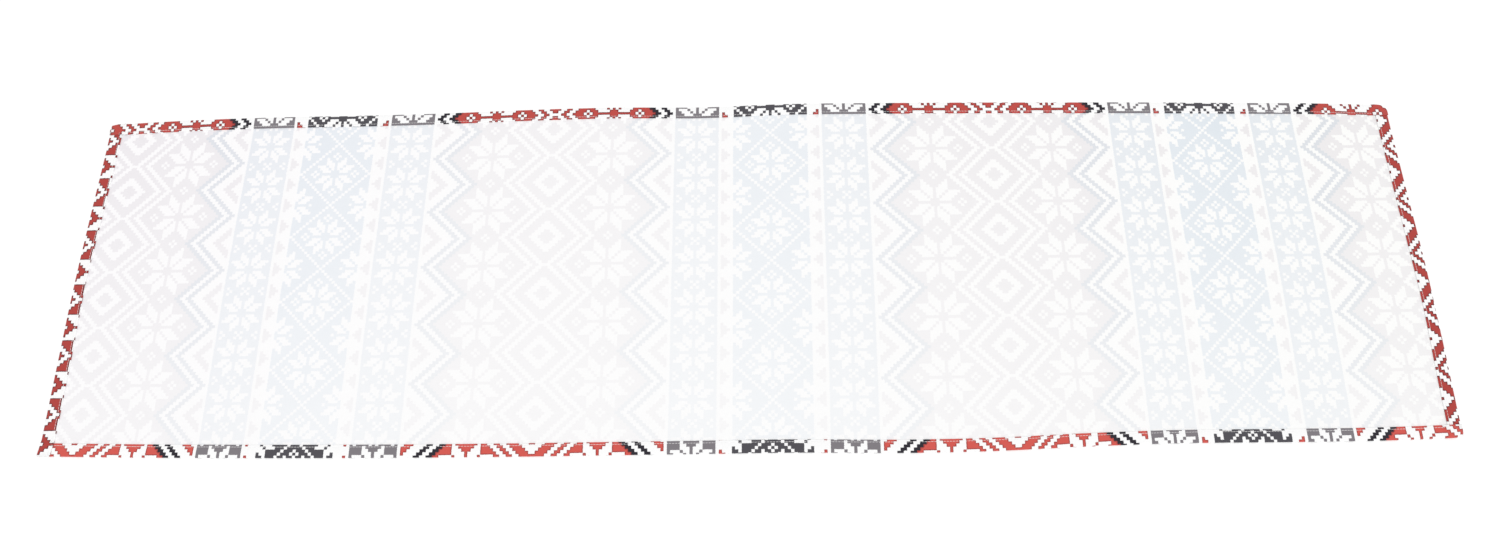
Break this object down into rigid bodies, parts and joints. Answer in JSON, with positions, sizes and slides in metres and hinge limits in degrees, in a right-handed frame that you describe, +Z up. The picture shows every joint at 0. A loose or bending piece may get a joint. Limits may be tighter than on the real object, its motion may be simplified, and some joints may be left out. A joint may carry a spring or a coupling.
{
  "type": "table runner",
  "caption": "Flat cotton table runner lying reverse side up, with a double-turned hem on every side.",
  "frame": {"origin": "on the surface that the runner lies on, below the middle of its outline's box", "axes": "+X along the length, +Y across it to the far long edge, +Z up out of the reverse side"},
  "size_m": [1.489, 0.4138, 0.0038],
  "materials": {
    "printed_cotton": "matte plain-weave cotton, printed on one face, seen from its pale reverse"
  },
  "bodies": {
    "root": {"runner": "printed_cotton"}
  },
  "joints": []
}
